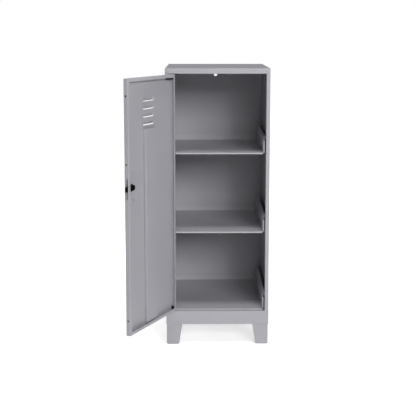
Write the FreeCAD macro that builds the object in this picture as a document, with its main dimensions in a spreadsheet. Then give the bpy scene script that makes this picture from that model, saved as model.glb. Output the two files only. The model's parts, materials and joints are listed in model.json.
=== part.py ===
import FreeCAD, Part
import os
import re
import Sketcher

# A free-standing steel storage locker: one hinged door with a cam lock, a floor and two fixed
# shelves, on four tapered legs.  Millimetres, +Z up, the door side facing -Y, the origin on the
# floor under the middle of the cabinet.  The door is drawn shut and then swung open on its pins.

SIZES = (
    ("width", 380, "cabinet, side to side"),
    ("depth", 460, "cabinet, front to back, without the handle"),
    ("height", 1025, "floor to the top of the cap"),
    ("leg_height", 76, "floor to the underside of the base"),
    ("base_height", 50, "face of the base frame"),
    ("cap_height", 19.5, "face of the cap"),
    ("sheet", 0.8, "steel sheet of the cabinet and the door"),
    ("bend", 1.8, "outside radius of a folded edge"),
    ("stile", 14, "face beside the door opening"),
    ("stile_return", 16, "stile folded back into the cabinet"),
    ("wall_flange", 12, "flanges along the top, bottom and rear of a side wall"),
    ("header", 18, "front lip of the cap, over the door"),
    ("base_flange", 30, "flanges of the base channels"),
    ("back_inset", 1.6, "rear face of the cap to the back sheet"),
    ("door_side_gap", 2.5, "door to stile"),
    ("door_top_gap", 2, "door to cap"),
    ("door_bottom_gap", 1.5, "door to base"),
    ("door_thickness", 16.5, "outer face to inner lips of the door"),
    ("door_lip", 11.5, "inner lips of the door"),
    ("open_angle", 115.3, "swing of the door from shut"),
    ("pin_from_edge", 7.5, "hinge pin axis to the hinge edge of the door"),
    ("pin_depth", 5.8, "hinge pin axis behind the face of the door"),
    ("pin_radius", 2.5, "hinge pins"),
    ("pin_fit", 0.05, "radial running fit of a pin or a plug"),
    ("pin_reach", 14, "hinge pin inside the door"),
    ("pin_head", 4.5, "radius of a pin head"),
    ("pin_head_height", 2, "thickness of a pin head"),
    ("plate", 3, "steel plates that hold the pins"),
    ("plate_length", 34, "pin plates, along the width"),
    ("plate_width", 14, "pin plates, front to back"),
    ("block_length", 47, "upper pivot block, along the door"),
    ("block_height", 16, "upper pivot block"),
    ("bush_radius", 4.2, "lower pivot bush"),
    ("bush_height", 18, "lower pivot bush above the door edge"),
    ("collar_radius", 5.2, "thrust collar of the lower bush"),
    ("slip", 0.3, "gap between pieces that slide past each other"),
    ("seat", 0.2, "gap round a piece that is fixed in a hole"),
    ("louver_width", 81, "door louvers"),
    ("louver_height", 11, "door louvers"),
    ("louver_proud", 5.5, "louvers pressed out of the door"),
    ("louver_taper", 5, "slope of the louver ends"),
    ("louver_nose", 4.6, "slit to the top of a louver's upright front"),
    ("louver_lift", 2.4, "slit to the free edge of a louver"),
    ("louver_round", 1.9, "outside radius of a louver's edges"),
    ("louver_first", 84.7, "door top to the slit of the first louver"),
    ("louver_pitch", 27.2, "slit to slit"),
    ("rib_width", 79, "door stiffener"),
    ("rib_depth", 11, "door stiffener, from the face of the door"),
    ("rib_foot", 12, "welded feet of the stiffener"),
    ("rib_top", 178, "door top to the stiffener"),
    ("rib_bottom", 14, "door bottom to the stiffener"),
    ("lock_from_edge", 44, "lock axis to the free edge of the door"),
    ("lock_rise", 507.5, "lock axis above the bottom of the door"),
    ("cam_depth", 8.9, "lock cam behind the face of the door"),
    ("cam_thickness", 3, "lock cam"),
    ("cam_reach", 54.4, "lock axis to the tip of the cam"),
    ("cam_shoulder", 38, "lock axis to the shoulder of the tongue"),
    ("cam_half", 12.2, "half the height of the cam"),
    ("tongue_half", 9, "half the height of the tongue"),
    ("hub_radius", 9, "cam hub"),
    ("slot_height", 70, "tongue slot in the door edge"),
    ("slot_width", 6, "tongue slot in the door edge"),
    ("strike_height", 76, "strike slot in the stile"),
    ("strike_width", 8, "strike slot in the stile"),
    ("handle_width", 44, "pull handle"),
    ("handle_height", 124, "pull handle"),
    ("handle_proud", 16, "pull handle"),
    ("handle_taper", 5, "slope of the handle sides"),
    ("handle_end_taper", 5, "slope of the handle ends"),
    ("handle_rise", 2.5, "middle of the handle above the lock"),
    ("handle_round", 3, "edge radius of the handle"),
    ("recess_depth", 11, "finger recess of the handle, along the door"),
    ("recess_height", 76, "finger recess of the handle"),
    ("recess_floor", 3, "handle under the finger recess"),
    ("recess_lip", 4, "handle over the finger recess"),
    ("screw_pitch", 99, "handle screws"),
    ("screw_inset", 14, "lock axis to the handle screws, towards the hinge"),
    ("screw_radius", 2, "handle screws"),
    ("screw_head", 3.8, "radius of a handle screw head"),
    ("screw_head_height", 2.4, "handle screw head"),
    ("screw_bite", 11, "handle screw in the handle"),
    ("barrel_radius", 8, "lock barrel"),
    ("barrel_inside", 7.6, "lock barrel behind the face of the door"),
    ("rose_radius", 11, "lock rim on the handle"),
    ("rose_height", 1.6, "lock rim on the handle"),
    ("plug_radius", 6, "lock plug"),
    ("key_width", 1.4, "keyway"),
    ("key_height", 7.5, "keyway"),
    ("key_deep", 9, "keyway"),
    ("lock_nut_across", 22, "lock nut across flats"),
    ("lock_nut_height", 3.4, "lock nut"),
    ("drive", 7, "square end of the plug"),
    ("cam_screw_radius", 1.9, "screw that holds the cam"),
    ("cam_screw_head", 4.6, "radius of the cam screw head"),
    ("cam_screw_head_height", 2.6, "cam screw head"),
    ("cam_screw_length", 9, "cam screw in the plug"),
    ("bumper_radius", 2.8, "rubber bumpers on the door edge"),
    ("bumper_stem", 1.9, "radius of a bumper's stem"),
    ("bumper_proud", 1.4, "rubber bumpers"),
    ("bumper_depth", 8, "bumpers behind the face of the door"),
    ("bumper_first", 57.8, "door top to the first bumper"),
    ("bumper_over_lock", 82.1, "lock axis up to the middle bumper"),
    ("bumper_last", 52.8, "door bottom to the lowest bumper"),
    ("shelf_side", 22, "cabinet side to the fin of a shelf"),
    ("shelf_setback", 19.8, "cabinet front to a shelf"),
    ("shelf_back_gap", 2.6, "shelf to the back sheet"),
    ("shelf_lip", 5, "front lip of a shelf"),
    ("shelf_flange", 18, "rear flange of a shelf"),
    ("shelf_pitch", 293.8, "shelf to shelf"),
    ("floor_rise", 3.7, "top of the floor above the base"),
    ("fin_height", 45, "upright part of a shelf's side fin"),
    ("flare_height", 13, "sloped top of the fin"),
    ("flare_width", 10, "sloped top of the fin"),
    ("fin_return", 5.3, "front return of the fin"),
    ("rail_sheet", 1.2, "shelf rails"),
    ("rail_ledge", 13, "shelf rail under the shelf"),
    ("rail_upright", 20, "shelf rail on the side wall"),
    ("rail_front", 40, "cabinet front to a shelf rail"),
    ("rail_back", 15, "cabinet back to a shelf rail"),
    ("leg_sheet", 1.2, "legs"),
    ("leg_inset", 1.8, "cabinet side or end to a leg"),
    ("leg_top_width", 58, "leg at the top"),
    ("leg_foot_width", 46, "leg at the foot"),
    ("leg_hem", 8, "returns along the slanted edges of a leg"),
    ("pad_height", 2, "glide under a leg"),
    ("pad_inset", 1, "foot to glide"),
    ("bolt_near", 18, "leg bolt to the nearer side of the cabinet"),
    ("bolt_far", 45, "leg bolt to the farther side"),
    ("bolt_radius", 3, "leg bolts"),
    ("bolt_head", 10, "leg bolt heads and nuts across flats"),
    ("bolt_head_height", 4, "leg bolt heads"),
    ("bolt_nut_height", 5, "leg nuts"),
    ("bolt_end", 2, "leg bolt beyond its nut"),
    ("rear_screw_radius", 1.7, "back sheet screws"),
    ("rear_screw_head", 3.5, "radius of a back sheet screw head"),
    ("rear_screw_head_height", 1.4, "back sheet screw head"),
    ("rear_screw_length", 6, "back sheet screw inside"),
    ("rear_screw_end", 60, "first back sheet screw from the end of the sheet"),
    ("back_edge", 1, "side of the cabinet to the back sheet"),
    ("anchor_radius", 6, "wall anchor hole"),
    ("anchor_drop", 23.5, "underside of the cap to the wall anchor hole"),
)

document = FreeCAD.newDocument("side_locker")
sizes = document.addObject("Spreadsheet::Sheet", "Sizes")
for row, (alias, number, meaning) in enumerate(SIZES, 1):
    sizes.set(f"A{row}", str(number))
    sizes.setAlias(f"A{row}", alias)
    sizes.set(f"B{row}", meaning)
document.recompute()

ALIASES = {alias for alias, number, meaning in SIZES}
nodes = {}

# Places that several pieces share, as formulas of the sizes above.
RIGHT = "(width / 2)"
FRONT = "(-depth / 2)"
REAR = "(depth / 2)"
BASE_TOP = "(leg_height + base_height)"
CAP_BOTTOM = "(height - cap_height)"
BACK_FACE = f"({REAR} - back_inset)"
BACK_INSIDE = f"({BACK_FACE} - sheet)"
DOOR_EDGE = "(width / 2 - stile - door_side_gap)"
DOOR_BOTTOM = f"({BASE_TOP} + door_bottom_gap)"
DOOR_TOP = f"({CAP_BOTTOM} - door_top_gap)"
DOOR_BACK = f"({FRONT} + door_thickness)"
SKIN_BACK = f"({FRONT} + sheet)"
PIN_X = f"(pin_from_edge - {DOOR_EDGE})"
PIN_Y = f"({FRONT} + pin_depth)"
LOCK_X = f"({DOOR_EDGE} - lock_from_edge)"
LOCK_Z = f"({DOOR_BOTTOM} + lock_rise)"
CAM_FRONT = f"({FRONT} + cam_depth)"
CAM_BACK = f"({CAM_FRONT} + cam_thickness)"
CAM_MIDDLE = f"({CAM_FRONT} + cam_thickness / 2)"
HANDLE_FACE = f"({FRONT} - handle_proud)"
HANDLE_Z = f"({LOCK_Z} + handle_rise)"
FLOOR_Z = f"({BASE_TOP} + floor_rise)"


def formula(text):
    """A formula of the spreadsheet: every alias in the text gets the sheet's name."""
    return re.sub(r"[a-z_]+", lambda word: "Sizes." + word[0] if word[0] in ALIASES else word[0], text)


def value(text):
    """What a formula comes to, in millimetres or degrees."""
    return float(sizes.evalExpression(formula(text)))


def bind(piece, **formulas):
    """Ties properties of a piece to formulas of the sizes."""
    for name, text in formulas.items():
        piece.setExpression(name, formula(text))
    return piece


def bind_base(piece, x, y, z):
    """Ties a piece's place to formulas of the sizes."""
    for letter, text in zip("xyz", (x, y, z)):
        piece.setExpression(f"Placement.Base.{letter}", formula(text))
    return piece


def mirrored(low, high, side):
    """The range low to high on the right (side 1) or its mirror image on the left (side -1)."""
    return (low, high) if side > 0 else (f"(-({high}))", f"(-({low}))")


def length(span):
    """The length of a range."""
    return f"({span[1]}) - ({span[0]})"


def box(name, x, y, z):
    """A block between two formulas along each axis."""
    block = document.addObject("Part::Box", name)
    bind(block, Length=length(x), Width=length(y), Height=length(z))
    return bind_base(block, x[0], y[0], z[0])


TURNS = {
    "X": FreeCAD.Rotation(FreeCAD.Vector(0, 1, 0), 90),
    "Y": FreeCAD.Rotation(FreeCAD.Vector(1, 0, 0), -90),
    "Z": FreeCAD.Rotation(),
}


def stand(piece, axis, across, span):
    """Lays a round or prismatic piece along an axis: across is its centre in the other two."""
    piece.Placement = FreeCAD.Placement(FreeCAD.Vector(), TURNS[axis])
    bind(piece, Height=length(span))
    start = dict(zip([letter for letter in "XYZ" if letter != axis], across))
    start[axis] = span[0]
    return bind_base(piece, start["X"], start["Y"], start["Z"])


def rod(name, axis, across, span, radius):
    """A cylinder along X, Y or Z."""
    return stand(bind(document.addObject("Part::Cylinder", name), Radius=radius), axis, across, span)


def hexagon(name, axis, across, span, flats):
    """A six-sided prism along X, Y or Z, by its size across flats."""
    prism = document.addObject("Part::Prism", name)
    prism.Polygon = 6
    return stand(bind(prism, Circumradius=f"{flats} / sqrt(3)"), axis, across, span)


def wedge(name, y, outer, inner):
    """A tapered block: outer and inner give its X and Z ranges at the two ends of y."""
    block = document.addObject("Part::Wedge", name)
    bind(block, Ymin=y[0], Ymax=y[1])
    bind(block, Xmin=outer[0][0], Xmax=outer[0][1], Zmin=outer[1][0], Zmax=outer[1][1])
    return bind(block, X2min=inner[0][0], X2max=inner[0][1], Z2min=inner[1][0], Z2max=inner[1][1])


def soften(piece, radius, sharp):
    """Rounds a block's edges, but not those whose middle lies on a sharp level, such as ("y", formula)."""
    document.recompute()
    size = value(radius)
    levels = [(letter, value(text)) for letter, text in sharp]
    rounded = document.addObject("Part::Fillet", f"{piece.Name}_soft")
    rounded.Base = piece
    chosen = []
    for number, edge in enumerate(piece.Shape.Edges, 1):
        middle = edge.CenterOfMass
        if all(abs(getattr(middle, letter) - level) > 0.001 for letter, level in levels):
            chosen.append((number, size, size))
    rounded.Edges = chosen
    return rounded


def fuse(name, *pieces):
    """One piece made of several that touch."""
    joined = document.addObject("Part::MultiFuse", name)
    joined.Shapes = list(pieces)
    return joined


def cut(name, piece, *tools):
    """A piece with others taken out of it."""
    result = document.addObject("Part::Cut", name)
    result.Base = piece
    result.Tool = tools[0] if len(tools) == 1 else fuse(f"{name}_cutters", *tools)
    return result


def group(name, pieces):
    """Loose pieces of one kind that share a node."""
    bundle = document.addObject("Part::Compound", name)
    bundle.Links = list(pieces)
    return bundle


def outline(body, plane, corners, start):
    """A closed sketch in a body's own origin plane, every corner held by two formulas."""
    sketch = body.newObject("Sketcher::SketchObject", f"{body.Name}_outline")
    sketch.AttachmentSupport = [(next(p for p in body.Origin.OriginFeatures if p.Role == plane), "")]
    sketch.MapMode = "FlatFace"
    sketch.setExpression("AttachmentOffset.Base.z", formula(start))
    spots = [FreeCAD.Vector(value(corner[0]), value(corner[1]), 0) for corner in corners]
    for here, there in zip(spots, spots[1:] + spots[:1]):
        sketch.addGeometry(Part.LineSegment(here, there), False)
    for number, (spot, corner) in enumerate(zip(spots, corners)):
        following = (number + 1) % len(spots)
        sketch.addConstraint(Sketcher.Constraint("Coincident", number, 2, following, 1))
        for kind, text, size in (("DistanceX", corner[0], spot.x), ("DistanceY", corner[1], spot.y)):
            held = sketch.addConstraint(Sketcher.Constraint(kind, -1, 1, number, 1, size))
            sketch.setExpression(f"Constraints[{held}]", formula(text))
    return sketch


def round_edges(body, feature, middles, radius):
    """Rounds the edges of a feature that have these middle points."""
    edges = [f"Edge{number}" for number, edge in enumerate(feature.Shape.Edges, 1)
             if any(edge.CenterOfMass.isEqual(middle, 0.001) for middle in middles)]
    rounded = body.newObject("PartDesign::Fillet", f"{body.Name}_round")
    rounded.Base = (feature, edges)
    bind(rounded, Radius=radius)
    document.recompute()
    return rounded


def folded(name, plane, corners, span):
    """Sheet of constant section: a padded outline whose corners (u, v, radius) are bends.

    The plane is XY (padded along Z), XZ (along Y) or YZ (along X)."""
    body = document.addObject("PartDesign::Body", name)
    start = f"-({span[1]})" if plane == "XZ" else span[0]
    sketch = outline(body, f"{plane}_Plane", corners, start)
    feature = body.newObject("PartDesign::Pad", f"{name}_pad")
    feature.Profile = sketch
    bind(feature, Length=length(span))
    document.recompute()
    half = value(f"({length(span)}) / 2")
    bends = {}
    for corner in corners:
        if len(corner) == 3:
            middle = sketch.Placement.multVec(FreeCAD.Vector(value(corner[0]), value(corner[1]), half))
            bends.setdefault(corner[2], []).append(middle)
    for radius, middles in bends.items():
        feature = round_edges(body, feature, middles, radius)
    body.Tip = feature
    return body


def rounded_box(name, x, y, z, radius):
    """A block with all twelve edges rounded."""
    corners = [(x[0], y[0]), (x[1], y[0]), (x[1], y[1]), (x[0], y[1])]
    body = folded(name, "XY", corners, z)
    pad = body.Tip
    body.Tip = round_edges(body, pad, [edge.CenterOfMass for edge in pad.Shape.Edges], radius)
    return body


def pan(name, x, y, z):
    """A closed sheet shell with folded edges, still to be opened on the sides that are open."""
    inner = [(f"{low} + sheet", f"{high} - sheet") for low, high in (x, y, z)]
    return cut(name, rounded_box(f"{name}_outside", x, y, z, "bend"),
               rounded_box(f"{name}_inside", *inner, "bend - sheet"))


def bent(along, up, sheet, along_sign, up_sign, corner):
    """The six corners of an L of sheet: its outside corner is bent, its legs run from there."""
    u, v = corner
    far_u = f"({u} + {along_sign} * {along})"
    far_v = f"({v} + {up_sign} * {up})"
    near_u = f"({u} + {along_sign} * {sheet})"
    near_v = f"({v} + {up_sign} * {sheet})"
    return [(u, v, "bend"), (far_u, v), (far_u, near_v),
            (near_u, near_v, f"bend - {sheet}"), (near_u, far_v), (u, far_v)]


def keep(label, piece):
    """Names a finished sub-part."""
    piece.Label = label
    nodes[label] = piece
    return piece


def hang(label, piece):
    """Names a finished piece of the door and swings it open about the hinge pins."""
    piece.Placement = FreeCAD.Placement(FreeCAD.Vector(), FreeCAD.Rotation(FreeCAD.Vector(0, 0, 1), -90))
    piece.setExpression("Placement.Rotation.Angle", formula("-open_angle"))
    bind_base(piece,
              f"{PIN_X} - {PIN_X} * cos(open_angle) - {PIN_Y} * sin(open_angle)",
              f"{PIN_Y} + {PIN_X} * sin(open_angle) - {PIN_Y} * cos(open_angle)",
              "0")
    return keep(label, piece)


# Cabinet shell ----------------------------------------------------------------------------------

def top_cap():
    """A shallow lid, open below inside its lips, with the upper pin hole in its front lip."""
    x = (f"-{RIGHT}", RIGHT)
    shell = pan("cap_shell", x, (FRONT, REAR), (CAP_BOTTOM, "height"))
    opening = box("cap_opening", (f"-{RIGHT} + wall_flange", f"{RIGHT} - wall_flange"),
                  (f"{FRONT} + header", f"{REAR} - wall_flange"),
                  (f"{CAP_BOTTOM} - sheet", f"{CAP_BOTTOM} + 2 * sheet"))
    hole = rod("cap_pin_hole", "Z", (PIN_X, PIN_Y), (f"{CAP_BOTTOM} - sheet", f"{CAP_BOTTOM} + 2 * sheet"),
               "pin_radius + pin_fit")
    keep("top_cap", cut("cap", shell, opening, hole))


def leg_holes(side, end):
    """Two bolt positions over a leg, one in each base channel: formulas of X and Y."""
    spots = (("bolt_far", "bolt_near"), ("bolt_near", "bolt_far"))
    return [(f"{side} * ({RIGHT} - {from_side})", f"{end} * ({REAR} - {from_end})")
            for from_side, from_end in spots]


def base_channel(name, end):
    """The front or rear channel of the base, across the full width, flanges turned inwards."""
    outer = f"({end} * {REAR})"
    inner = f"({end} * ({REAR} - sheet))"
    tip = f"({end} * ({REAR} - base_flange))"
    low = "leg_height"
    corners = [(outer, low, "bend"), (tip, low), (tip, f"{low} + sheet"),
               (inner, f"{low} + sheet", "bend - sheet"), (inner, f"{BASE_TOP} - sheet", "bend - sheet"),
               (tip, f"{BASE_TOP} - sheet"), (tip, BASE_TOP), (outer, BASE_TOP, "bend")]
    channel = folded(f"{name}_channel", "YZ", corners, (f"-{RIGHT}", RIGHT))
    holes = []
    for side in (-1, 1):
        spot = leg_holes(side, end)[0]
        holes.append(rod(f"{name}_hole", "Z", spot, (f"{low} - sheet", f"{low} + 2 * sheet"),
                         "bolt_radius + seat"))
    if end < 0:
        holes.append(rod(f"{name}_pin_hole", "Z", (PIN_X, PIN_Y),
                         (f"{BASE_TOP} - 2 * sheet", f"{BASE_TOP} + sheet"), "pin_radius + pin_fit"))
    keep(name, cut(f"{name}_drilled", channel, *holes))


def base_side(name, side):
    """A side channel of the base, its flanges stopping at those of the front and rear ones."""
    outer = f"({side} * {RIGHT})"
    inner = f"({side} * ({RIGHT} - sheet))"
    tip = f"({side} * ({RIGHT} - base_flange))"
    low = "leg_height"
    corners = [(outer, low, "bend"), (tip, low), (tip, f"{low} + sheet"),
               (inner, f"{low} + sheet", "bend - sheet"), (inner, f"{BASE_TOP} - sheet", "bend - sheet"),
               (tip, f"{BASE_TOP} - sheet"), (tip, BASE_TOP), (outer, BASE_TOP, "bend")]
    channel = folded(f"{name}_channel", "XZ", corners, (f"{FRONT} + sheet", f"{REAR} - sheet"))
    flange_x = mirrored(f"{RIGHT} - 2 * base_flange", f"{RIGHT} - sheet", side)
    bend_x = mirrored(f"{RIGHT} - bend", RIGHT, side)
    tools = []
    for end in (-1, 1):
        span = mirrored(f"{REAR} - base_flange", REAR, end)
        tools.append(box(f"{name}_notch", flange_x, span, (low, BASE_TOP)))
        for level in (low, f"{BASE_TOP} - bend"):
            tools.append(box(f"{name}_relief", bend_x, span, (level, f"{level} + bend")))
        spot = leg_holes(side, end)[1]
        tools.append(rod(f"{name}_hole", "Z", spot, (f"{low} - sheet", f"{low} + 2 * sheet"),
                         "bolt_radius + seat"))
    keep(name, cut(f"{name}_notched", channel, *tools))


def strike_slot():
    """The slot in the stile that takes the lock's tongue."""
    span = (f"{RIGHT} - stile - sheet", f"{RIGHT} - stile + 2 * sheet")
    return box("strike_slot", span, (f"{CAM_MIDDLE} - strike_width / 2", f"{CAM_MIDDLE} + strike_width / 2"),
               (f"{LOCK_Z} - strike_height / 2", f"{LOCK_Z} + strike_height / 2"))


def screw_rows():
    """Heights of the back sheet screws: the two ends and the middle."""
    middle = f"({BASE_TOP} + {CAP_BOTTOM}) / 2"
    return (f"{BASE_TOP} + rear_screw_end", middle, f"{CAP_BOTTOM} - rear_screw_end")


def side_panel(name, side):
    """A side wall folded from one sheet: stile with its return, rear, top and bottom flanges."""
    x = mirrored(f"({RIGHT} - stile)", RIGHT, side)
    shell = pan(f"{name}_shell", x, (FRONT, BACK_INSIDE), (BASE_TOP, CAP_BOTTOM))
    inside = mirrored(f"({RIGHT} - stile - sheet)", f"({RIGHT} - wall_flange)", side)
    tools = [box(f"{name}_opening", inside, (f"{FRONT} + stile_return", f"{BACK_INSIDE} + sheet"),
                 (f"{BASE_TOP} - sheet", f"{CAP_BOTTOM} + sheet"))]
    through = (f"{BACK_INSIDE} - 2 * sheet", f"{BACK_INSIDE} + sheet")
    for height in screw_rows():
        spot = (f"{side} * ({RIGHT} - wall_flange / 2)", height)
        tools.append(rod(f"{name}_screw_hole", "Y", spot, through, "rear_screw_radius + seat"))
    if side > 0:
        tools.append(strike_slot())
    keep(name, cut(f"{name}_cut", shell, *tools))


def back_panel():
    """A flat sheet behind the rear flanges, with a hole for a wall anchor."""
    sheet_box = box("back_sheet", (f"-{RIGHT} + back_edge", f"{RIGHT} - back_edge"), (BACK_INSIDE, BACK_FACE),
                    (BASE_TOP, CAP_BOTTOM))
    through = (f"{BACK_INSIDE} - sheet", f"{BACK_FACE} + sheet")
    tools = [rod("anchor_hole", "Y", ("0", f"{CAP_BOTTOM} - anchor_drop"), through, "anchor_radius")]
    for side in (-1, 1):
        for height in screw_rows():
            tools.append(rod("back_hole", "Y", (f"{side} * ({RIGHT} - wall_flange / 2)", height), through,
                             "rear_screw_radius + seat"))
    keep("back_panel", cut("back_drilled", sheet_box, *tools))


def back_panel_screws():
    """Pan-head screws through the back sheet into the rear flanges."""
    screws = []
    for side in (-1, 1):
        for height in screw_rows():
            spot = (f"{side} * ({RIGHT} - wall_flange / 2)", height)
            head = rod("rear_head", "Y", spot, (BACK_FACE, f"{BACK_FACE} + rear_screw_head_height"),
                       "rear_screw_head")
            shank = rod("rear_shank", "Y", spot, (f"{BACK_FACE} - rear_screw_length", BACK_FACE),
                        "rear_screw_radius")
            screws.append(fuse("rear_screw", head, shank))
    keep("back_panel_screws", group("rear_screws", screws))


# Floor and shelves ------------------------------------------------------------------------------

SHELF_X = f"({RIGHT} - shelf_side)"
SHELF_FRONT = f"({FRONT} + shelf_setback)"
SHELF_REAR = f"({BACK_INSIDE} - shelf_back_gap)"
FIN_TOP = "(fin_height + flare_height)"
SLOPE_SHEET = "(sheet * sqrt(1 + (flare_width / flare_height) ^ 2))"
INNER_KINK = f"({FIN_TOP} - (flare_width - {SLOPE_SHEET} + sheet) * flare_height / flare_width)"


def shelf_tray(name, deck, lip, flange):
    """A folded tray: deck, two flared side fins, a front lip and a rear flange."""
    right = [(SHELF_X, f"{deck} - sheet", "bend"), (SHELF_X, f"{deck} + fin_height"),
             (f"{SHELF_X} + flare_width", f"{deck} + {FIN_TOP}"),
             (f"{SHELF_X} + flare_width - {SLOPE_SHEET}", f"{deck} + {FIN_TOP}"),
             (f"{SHELF_X} - sheet", f"{deck} + {INNER_KINK}"), (f"{SHELF_X} - sheet", deck, "bend - sheet")]
    left = [(f"-({corner[0]})",) + corner[1:] for corner in reversed(right)]
    tray = folded(f"{name}_tray", "XZ", right + left, (f"{SHELF_FRONT} + bend", f"{SHELF_REAR} - bend"))
    deck_x = (f"-{SHELF_X} + bend", f"{SHELF_X} - bend")
    lip_fold = [(corner[0], corner[1]) + corner[2:] for corner in
                bent("2 * bend", lip, "sheet", 1, -1, (SHELF_FRONT, deck))]
    front = folded(f"{name}_lip", "YZ", lip_fold, deck_x)
    rear_fold = bent("2 * bend", f"({flange} + sheet)", "sheet", -1, 1, (SHELF_REAR, f"({deck} - sheet)"))
    rear = folded(f"{name}_rear", "YZ", rear_fold, deck_x)
    pieces = [tray, front, rear]
    for side in (-1, 1):
        corner = (f"({side} * ({SHELF_X} - sheet))", SHELF_FRONT)
        fold = bent("(fin_return + sheet)", "2 * bend", "sheet", side, 1, corner)
        pieces.append(folded(f"{name}_fin_edge", "XY", fold, (f"{deck}", f"{deck} + fin_height")))
    return pieces


def shelf(name, deck):
    keep(name, fuse(f"{name}_whole", *shelf_tray(name, deck, "shelf_lip", "shelf_flange")))


def floor_pan():
    """The floor is one more tray, standing on the base by its front lip and a rear foot."""
    pieces = shelf_tray("floor", FLOOR_Z, "floor_rise", "shelf_flange")
    foot = box("floor_foot", (f"-{SHELF_X} + bend", f"{SHELF_X} - bend"),
               (f"{SHELF_REAR} - bend - sheet", f"{SHELF_REAR} - bend"), (BASE_TOP, FLOOR_Z))
    keep("floor_pan", fuse("floor_whole", *pieces, foot))


def shelf_rail(name, side, deck):
    """An angle welded to the side wall, its ledge under the shelf."""
    wall = f"({side} * ({RIGHT} - sheet))"
    ledge = f"({RIGHT} - sheet - {SHELF_X} + rail_ledge)"
    under_deck = f"({deck} - sheet - rail_sheet)"
    fold = bent(ledge, "(rail_sheet + rail_upright)", "rail_sheet", -side, 1, (wall, under_deck))
    keep(name, folded(f"{name}_angle", "XZ", fold, (f"{FRONT} + rail_front", f"{REAR} - rail_back")))


# Legs -------------------------------------------------------------------------------------------

LEG_OUT_X = f"({RIGHT} - leg_inset)"
LEG_OUT_Y = f"({REAR} - leg_inset)"


def leg(name, side, end):
    """A corner leg: two tapered faces with returns along their slanted edges, and two plates."""
    def across(distance):
        return f"({side} * ({LEG_OUT_X} - ({distance})))"

    def along(distance):
        return f"({end} * ({LEG_OUT_Y} - ({distance})))"

    corner = [(across("0"), along("0"), "bend"), (across("leg_top_width"), along("0")),
              (across("leg_top_width"), along("leg_sheet")),
              (across("leg_sheet"), along("leg_sheet"), "bend - leg_sheet"),
              (across("leg_sheet"), along("leg_top_width")), (across("0"), along("leg_top_width"))]
    faces = folded(f"{name}_corner", "XY", corner, ("pad_height", "leg_height"))
    pieces = []
    cutters = []
    for plane, away, thick in (("XZ", across, along), ("YZ", along, across)):
        slant = [(away("leg_top_width"), "leg_height"), (away("leg_foot_width"), "pad_height")]
        waste = slant + [(away("2 * leg_top_width"), "pad_height"), (away("2 * leg_top_width"), "leg_height")]
        ends = sorted((thick("-leg_sheet"), thick("2 * leg_sheet")), key=value)
        cutters.append(folded(f"{name}_waste", plane, waste, ends))
        hem = slant + [(away("leg_foot_width - leg_sheet"), "pad_height"),
                       (away("leg_top_width - leg_sheet"), "leg_height")]
        ends = sorted((thick("0"), thick("leg_hem")), key=value)
        pieces.append(folded(f"{name}_hem", plane, hem, ends))
    tapered = cut(f"{name}_tapered", faces, *cutters)
    for level, reach, low in (("top", "leg_top_width", "leg_height - leg_sheet"),
                              ("foot", "leg_foot_width", "pad_height")):
        x = sorted((across("leg_sheet / 2"), across(reach)), key=value)
        y = sorted((along("leg_sheet / 2"), along(reach)), key=value)
        pieces.append(box(f"{name}_{level}_plate", x, y, (low, f"{low} + leg_sheet")))
    whole = fuse(f"{name}_whole", tapered, *pieces)
    holes = [rod(f"{name}_hole", "Z", spot, ("leg_height - 2 * leg_sheet", "leg_height + leg_sheet"),
                 "bolt_radius + seat") for spot in leg_holes(side, end)]
    keep(name, cut(f"{name}_drilled", whole, *holes))


def foot_pad(name, side, end):
    """A flat plastic glide under the foot plate."""
    x = mirrored(f"({LEG_OUT_X} - leg_foot_width + pad_inset)", f"({LEG_OUT_X} - pad_inset)", side)
    y = mirrored(f"({LEG_OUT_Y} - leg_foot_width + pad_inset)", f"({LEG_OUT_Y} - pad_inset)", end)
    corners = [(x[0], y[0], "bend"), (x[1], y[0], "bend"), (x[1], y[1], "bend"), (x[0], y[1], "bend")]
    keep(name, folded(f"{name}_glide", "XY", corners, ("0", "pad_height")))


def leg_fasteners():
    """Two bolts and nuts hold each leg to the base."""
    bolts = []
    nuts = []
    under_plate = "(leg_height - leg_sheet)"
    head_seat = "(leg_height + sheet)"
    for side in (-1, 1):
        for end in (-1, 1):
            for spot in leg_holes(side, end):
                head = hexagon("bolt_head", "Z", spot, (head_seat, f"{head_seat} + bolt_head_height"),
                               "bolt_head")
                shank = rod("bolt_shank", "Z", spot,
                            (f"{under_plate} - bolt_nut_height - bolt_end", head_seat), "bolt_radius")
                bolts.append(fuse("leg_bolt", head, shank))
                blank = hexagon("nut_blank", "Z", spot, (f"{under_plate} - bolt_nut_height", under_plate),
                                "bolt_head")
                bore = rod("nut_bore", "Z", spot, (f"{under_plate} - 2 * bolt_nut_height", "leg_height"),
                           "bolt_radius + pin_fit")
                nuts.append(cut("leg_nut", blank, bore))
    keep("leg_bolts", group("bolt_group", bolts))
    keep("leg_nuts", group("nut_group", nuts))


# Hinge ------------------------------------------------------------------------------------------

def pivot_plate(name, z):
    """A thick plate that stiffens the thin sheet round a hinge pin."""
    blank = box(f"{name}_blank", (f"{PIN_X} - plate_length / 3", f"{PIN_X} + 2 * plate_length / 3"),
                (f"{FRONT} + bend", f"{FRONT} + bend + plate_width"), z)
    hole = rod(f"{name}_hole", "Z", (PIN_X, PIN_Y), (f"{z[0]} - sheet", f"{z[1]} + sheet"),
               "pin_radius + pin_fit")
    keep(name, cut(f"{name}_drilled", blank, hole))


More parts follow.
